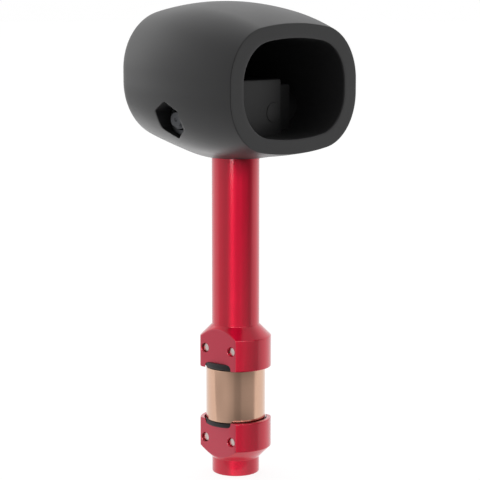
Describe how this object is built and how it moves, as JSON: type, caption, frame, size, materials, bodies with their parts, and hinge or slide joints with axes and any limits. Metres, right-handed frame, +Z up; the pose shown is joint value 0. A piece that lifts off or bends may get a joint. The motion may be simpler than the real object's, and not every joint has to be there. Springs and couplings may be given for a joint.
{
  "type": "bass drum beater",
  "caption": "Bass drum beater: a hollow moulded head bolted on a turned stem, above a sleeve that swivels in pinned collars with rubber rings.",
  "frame": {"origin": "centre of the stub's lower face, at the mouth of the hole for the pedal rod", "axes": "+Z up the stem to the head; -Y the way the head's open end faces; X along the cross bolt, with its nut on -X"},
  "size_m": [0.0546, 0.0414, 0.1263],
  "materials": {
    "head_plastic": "charcoal grey moulded plastic, finely grained and matt",
    "red_aluminium": "turned and red anodised, satin",
    "bearing_bronze": "turned bronze, brushed round its axis",
    "black_rubber": "plain black rubber, matt",
    "pin_steel": "ground pin with faced ends",
    "bolt_steel": "zinc plated screw, nut and washer, dulled"
  },
  "bodies": {
    "lower": {"lower_collar": "red_aluminium", "lower_ring": "black_rubber", "lower_pin_front": "pin_steel", "lower_pin_rear": "pin_steel"},
    "sleeve": {"coupling_sleeve": "bearing_bronze"},
    "head": {"upper_stem": "red_aluminium", "upper_ring": "black_rubber", "upper_pin_front": "pin_steel", "upper_pin_rear": "pin_steel", "head_shell": "head_plastic", "cross_bolt": "bolt_steel", "cross_nut": "bolt_steel", "cross_washer": "bolt_steel"}
  },
  "joints": [
    {"name": "sleeve_swivel", "type": "hinge", "parent": "lower", "child": "sleeve", "pos_m": [0, 0, 0.0151], "axis": [0, 0, 1], "continuous": true},
    {"name": "head_swivel", "type": "hinge", "parent": "sleeve", "child": "head", "pos_m": [0, 0, 0.0291], "axis": [0, 0, 1], "continuous": true}
  ]
}
